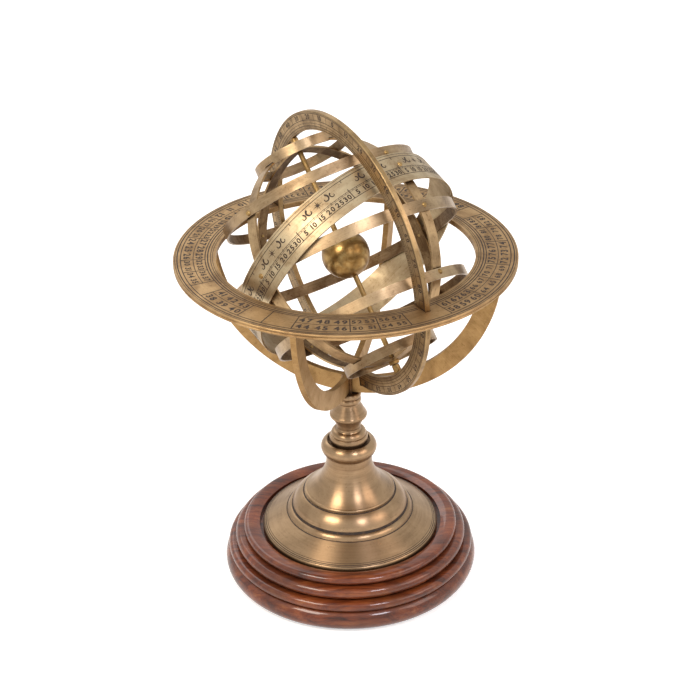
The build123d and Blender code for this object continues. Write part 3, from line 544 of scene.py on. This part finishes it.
horizon_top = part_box("horizon_ring")[1].z
horizon = Engraving(lambda t, r: Vector((r * sin(t), -r * cos(t), horizon_top + LIFT)), rise=-1)
for radius, width in RIM_CIRCLES:
    horizon.arc(-180, 180, radius, width)
slot = degrees(atan2(meridian_normal.y, meridian_normal.x))
for radius, width in INNER_CIRCLES:
    for begin in (slot, slot + 180):
        horizon.arc(begin + SLOT_HALF, begin + 180 - SLOT_HALF, radius, width)
count = FIRST_FIGURE
for (begin, kind), (end, _) in zip(CELLS, CELLS[1:]):
    horizon.bar(begin, CELLS_INNER, CELLS_OUTER, DIVIDER_WIDTH, CELLS_MIDDLE)
    if kind == PLAIN:
        continue
    horizon.arc(begin, end, SPLIT_RADIUS, SPLIT_WIDTH)
    for row in FIGURE_ROWS:
        for column in COLUMNS[kind]:
            horizon.figures(str(count), (begin + end) / 2 + column * (end - begin), row, FIGURE_HEIGHT[kind], row,
                            FIGURE_STRETCH)
            count = count + 1 if count < LAST_FIGURE else FIRST_FIGURE
lay("horizon_engraving", "stand", "ring_brass", horizon)

# ---- meridian ring: degree scale on both faces
SCALE_CIRCLES = ((67.6, 0.2), (69.0, 0.26), (70.4, 0.2), (72.0, 0.3), (75.6, 0.3), (76.3, 0.2))
TICK_INNER, TICK_OUTER, LONG_TICK_OUTER, TICK_WIDTH, TICK_RADIUS = 67.6, 69.0, 70.4, 0.2, 69.0
TEN_INNER, TEN_OUTER, TEN_WIDTH, TEN_RADIUS = 72.0, 75.6, 0.26, 74.0
DEGREE_ROW, DEGREE_HEIGHT, DEGREE_STRETCH = 73.8, 2.6, 1.15
half_thick = half_width("meridian_ring", meridian_normal)


def degree_scale(side):
    """Ruled circles, a tick each degree and a number each ten, on one face of the meridian ring."""
    facing = meridian_normal * side
    aside = facing.cross(meridian_top)
    face = Engraving(lambda t, r: (centre + (meridian_top * cos(t) + aside * sin(t)) * r
                                   + facing * (half_thick + LIFT)), turn=-1)
    for radius, width in SCALE_CIRCLES:
        face.arc(-180, 180, radius, width)
    for step in range(360):
        outer = LONG_TICK_OUTER if step % 5 == 0 else TICK_OUTER
        face.bar(step, TICK_INNER, outer, TICK_WIDTH, TICK_RADIUS)
    for step in range(0, 360, 10):
        number = min(step % 180, 180 - step % 180)
        face.figures(str(number), step, DEGREE_ROW, DEGREE_HEIGHT, TEN_RADIUS, DEGREE_STRETCH)
        face.bar(step + 5, TEN_INNER, TEN_OUTER, TEN_WIDTH, TEN_RADIUS)
    return face


lay("meridian_engraving", "meridian", "ring_brass", degree_scale(-1), degree_scale(1))

# ---- zodiac band: the strip, and on it twelve cells of ornament above a row of figures
STRIP_LOW, STRIP_HIGH = -11.0 * MM, 8.0 * MM
STRIP_THICKNESS = 1.0 * MM
EDGE_BREAK = 0.15 * MM
STRIP_STEPS = 360
zodiac_reach = reach("zodiac_band", zodiac_pole)
zodiac_side = zodiac_pole.cross(summer)


def on_the_zodiac(angle, radius, across):
    """The point at an angle from the summer solstice, a radius and a place across the strip."""
    return centre + (summer * cos(angle) + zodiac_side * sin(angle)) * radius + zodiac_pole * across


def zodiac_strip():
    """The rolled strip itself, with its plain margin below the ruled lines and its edges just broken."""
    outer, inner = zodiac_reach, zodiac_reach - STRIP_THICKNESS
    profile = [(outer, STRIP_LOW + EDGE_BREAK), (outer, STRIP_HIGH - EDGE_BREAK),
               (outer - EDGE_BREAK, STRIP_HIGH), (inner + EDGE_BREAK, STRIP_HIGH),
               (inner, STRIP_HIGH - EDGE_BREAK), (inner, STRIP_LOW + EDGE_BREAK),
               (inner + EDGE_BREAK, STRIP_LOW), (outer - EDGE_BREAK, STRIP_LOW)]
    points, faces = [], []
    for step in range(STRIP_STEPS):
        points += [on_the_zodiac(2 * pi * step / STRIP_STEPS, radius, across) for radius, across in profile]
        here, there = step * len(profile), (step + 1) % STRIP_STEPS * len(profile)
        for corner in range(len(profile)):
            beside = (corner + 1) % len(profile)
            faces.append((here + corner, there + corner, there + beside, here + beside))
    mesh = bpy.data.meshes.new("zodiac_strip")
    mesh.from_pydata(points, [], faces)
    mesh.materials.append(finishes["zodiac_band"])
    mesh.shade_smooth()
    mesh.set_sharp_from_angle(angle=radians(30))
    strip = bpy.data.objects.new("zodiac_strip", mesh)
    bpy.context.collection.objects.link(strip)
    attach(strip, "sphere")
    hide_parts("zodiac_band")


zodiac_strip()

ZODIAC_LINES = ((6.9, 0.2), (5.3, 0.34), (-2.0, 0.26), (-6.9, 0.34))
CELL_SPAN, FIRST_DIVIDER = 30, -62.5
# the line between two cells is in two parts, each as low end, high end and width
UPPER_DIVIDER, LOWER_DIVIDER = (3.9, 5.3, 0.4), (-6.9, -0.8, 0.46)
TICK_LINE, TICK_LINE_WIDTH = -2.75, 0.18
TICKS, TICK_SPACING, TICK_TOP, LONG_TICK_TOP, ZODIAC_TICK_WIDTH = 14, 2, -2.0, -1.2, 0.24
DAY_COLUMNS = ((3.2, "5"), (7.9, "10"), (12.9, "15"), (17.9, "20"), (22.9, "25"), (27.4, "30"))
DAY_ROW, DAY_HEIGHT, DAY_GAP = -4.8, 2.9, 0.2
STAR_ROW, STAR_SIZE = 1.8, 3.0
# each curl's distance from the star in degrees, its row, its size, and which way it turns
CURLS = ((4.6, 1.8, 2.2, 1), (8.4, 1.5, 1.7, -1))

zodiac_radius = zodiac_reach / MM  # what the engraving is drawn at
zodiac = Engraving(lambda t, v: on_the_zodiac(t, zodiac_reach + LIFT, v))
for across, width in ZODIAC_LINES:
    zodiac.arc(-180, 180, across, width)
for cell in range(12):
    divider = FIRST_DIVIDER + CELL_SPAN * cell
    for low, high, width in (UPPER_DIVIDER, LOWER_DIVIDER):
        zodiac.bar(divider, low, high, width, zodiac_radius)
    zodiac.arc(divider, divider + CELL_SPAN, TICK_LINE, TICK_LINE_WIDTH)
    for tick in range(1, TICKS + 1):
        zodiac.bar(divider + TICK_SPACING * tick, TICK_LINE, TICK_TOP if tick % 5 else LONG_TICK_TOP,
                   ZODIAC_TICK_WIDTH, zodiac_radius)
    for column, number in DAY_COLUMNS:
        zodiac.figures(number, divider + column, DAY_ROW, DAY_HEIGHT, zodiac_radius, gap=DAY_GAP)
    middle = divider + CELL_SPAN / 2
    zodiac.star(middle, STAR_ROW, STAR_SIZE, zodiac_radius)
    for side in (-1, 1):
        for distance, row, size, way in CURLS:
            zodiac.curl(middle + side * distance, row, size, zodiac_radius, side * way)
lay("zodiac_engraving", "sphere", "brass", zodiac)

# ---- bell foot: the fine lines the turner cut beside the rim, and dark strips laid in the grooves beside the dome and the bead as painted shade
# each as its distance inside the rim, and its width
BELL_LINES = ((0.9, 0.3), (1.7, 0.34), (2.6, 0.2), (13.55, 0.5), (16.6, 0.6), (23.15, 0.7))
ABOVE_THE_BELL = 200 * MM
bell = nodes["bell_foot"]
bell_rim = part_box("bell_foot")[1].x / MM


def on_the_bell(angle, radius):
    """The bell's surface under a point, a hair above the brass."""
    over = Vector((radius * sin(angle), -radius * cos(angle), ABOVE_THE_BELL))
    found, spot, facing, _ = bell.ray_cast(over, -up)
    return spot + facing * LIFT if found else over


# turned lines near the rim, and painted shade strips in the grooves beside the dome and the bead
turned_lines_and_step_shade = Engraving(on_the_bell)
for inset, width in BELL_LINES:
    turned_lines_and_step_shade.arc(-180, 180, bell_rim - inset, width)
lay("bell_turned_lines", "stand", "turned_brass", turned_lines_and_step_shade)

# ---- floor, room and lamps
FLOOR_HALF = 4.0
FLOOR_DROP = 0.4 * MM
FLOOR_GLOW = 0.62


def seeing_the_background(tree):
    """1 for the rays that meet the white background: from the camera, through glass, or mirrored by metal."""
    path = add(tree, "ShaderNodeLightPath")
    seen = path.outputs["Is Camera Ray"]
    for ray in ("Is Transmission Ray", "Is Glossy Ray"):
        seen = add(tree, "ShaderNodeMath", {0: seen, 1: path.outputs[ray]}, operation="MAXIMUM").outputs[0]
    return seen


paper, tree, output = blank("white_paper_floor")
lit = add(tree, "ShaderNodeBsdfDiffuse", {"Color": linear("#dedede")}).outputs[0]
glow = add(tree, "ShaderNodeEmission", {"Color": grey(1.0), "Strength": FLOOR_GLOW}).outputs[0]
both = add(tree, "ShaderNodeAddShader", {0: lit, 1: glow}).outputs[0]
mixed = add(tree, "ShaderNodeMixShader", {0: seeing_the_background(tree), 1: lit, 2: both}).outputs[0]
tree.links.new(mixed, output.inputs[0])
floor_mesh = bpy.data.meshes.new("studio_floor")
floor_mesh.from_pydata([(-FLOOR_HALF, -FLOOR_HALF, 0), (FLOOR_HALF, -FLOOR_HALF, 0),
                        (FLOOR_HALF, FLOOR_HALF, 0), (-FLOOR_HALF, FLOOR_HALF, 0)], [], [(0, 1, 2, 3)])
floor_mesh.materials.append(paper)
floor = bpy.data.objects.new("studio_floor", floor_mesh)
floor.location.z = -FLOOR_DROP
bpy.context.collection.objects.link(floor)
floor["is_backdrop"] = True

# the room's own light on the object is dim below and in front, and brighter above and behind
BEHIND_SHARE, ABOVE_SHARE = 0.6, 0.45
ROOM_DIM, ROOM_BRIGHT = 0.12, 0.84

world = bpy.data.worlds.new("studio_room")
world.use_nodes = True
bpy.context.scene.world = world
tree = world.node_tree
tree.nodes.clear()
way = add(tree, "ShaderNodeSeparateXYZ", {0: add(tree, "ShaderNodeTexCoord").outputs["Generated"]})
slope = add(tree, "ShaderNodeMath", {0: way.outputs[1], 1: BEHIND_SHARE}, operation="MULTIPLY").outputs[0]
slope = add(tree, "ShaderNodeMath", {0: way.outputs[2], 1: ABOVE_SHARE, 2: slope},
            operation="MULTIPLY_ADD").outputs[0]
level = add(tree, "ShaderNodeMapRange",
            {"Value": slope, "From Min": -0.5, "From Max": 0.75, "To Min": ROOM_DIM, "To Max": ROOM_BRIGHT}).outputs[0]
room = add(tree, "ShaderNodeBackground", {"Color": linear("#fff6ee"), "Strength": level}).outputs[0]
white = add(tree, "ShaderNodeBackground", {"Color": grey(1.0), "Strength": 1.0}).outputs[0]
mixed = add(tree, "ShaderNodeMixShader", {0: seeing_the_background(tree), 1: room, 2: white}).outputs[0]
tree.links.new(mixed, tree.nodes.new("ShaderNodeOutputWorld").inputs[0])

AIM = Vector((0, 0, 0.13))


def softbox(name, colour, *, azimuth, elevation, distance, size, watts):
    """A square soft lamp aimed at the middle of the object; azimuth 0 is the camera's side and + is to its right."""
    lamp = bpy.data.lights.new(name, "AREA")
    lamp.shape, lamp.size, lamp.energy, lamp.color = "SQUARE", size, watts, linear(colour)[:3]
    holder = bpy.data.objects.new(name, lamp)
    a, e = radians(azimuth), radians(elevation)
    holder.location = AIM + Vector((sin(a) * cos(e), -cos(a) * cos(e), sin(e))) * distance
    holder.rotation_euler = (AIM - holder.location).to_track_quat("-Z", "Y").to_euler()
    bpy.context.collection.objects.link(holder)


softbox("left_softbox", "#fff3e4", azimuth=-46, elevation=48, distance=1.25, size=0.45, watts=8.5)
softbox("right_softbox", "#f6f3ff", azimuth=29, elevation=44, distance=1.3, size=0.28, watts=5.0)
softbox("side_softbox", "#ffe9de", azimuth=68, elevation=36, distance=1.3, size=0.6, watts=3.6)
softbox("back_softbox", "#ffffff", azimuth=205, elevation=40, distance=1.5, size=0.8, watts=3.5)

# ---- camera at the photograph's angle, its turns in degrees
CAMERA_PLACE = (0, -0.86156, 0.62427)
PAN, TILT, ROLL = -0.096, -29.617, 0.906
camera_data = bpy.data.cameras.new("photo_camera")
camera_data.lens, camera_data.sensor_width, camera_data.sensor_fit = 95.99, 36.0, "HORIZONTAL"
camera = bpy.data.objects.new("photo_camera", camera_data)
camera.location = CAMERA_PLACE
camera.rotation_euler = (Matrix.Rotation(radians(PAN), 3, "Z") @ Matrix.Rotation(radians(TILT), 3, "X")
                         @ Matrix.Rotation(radians(ROLL), 3, "Y") @ Matrix.Rotation(radians(90), 3, "X")).to_euler()
bpy.context.collection.objects.link(camera)
bpy.context.scene.camera = camera
bpy.context.scene.view_settings.view_transform = "Standard"

low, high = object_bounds()
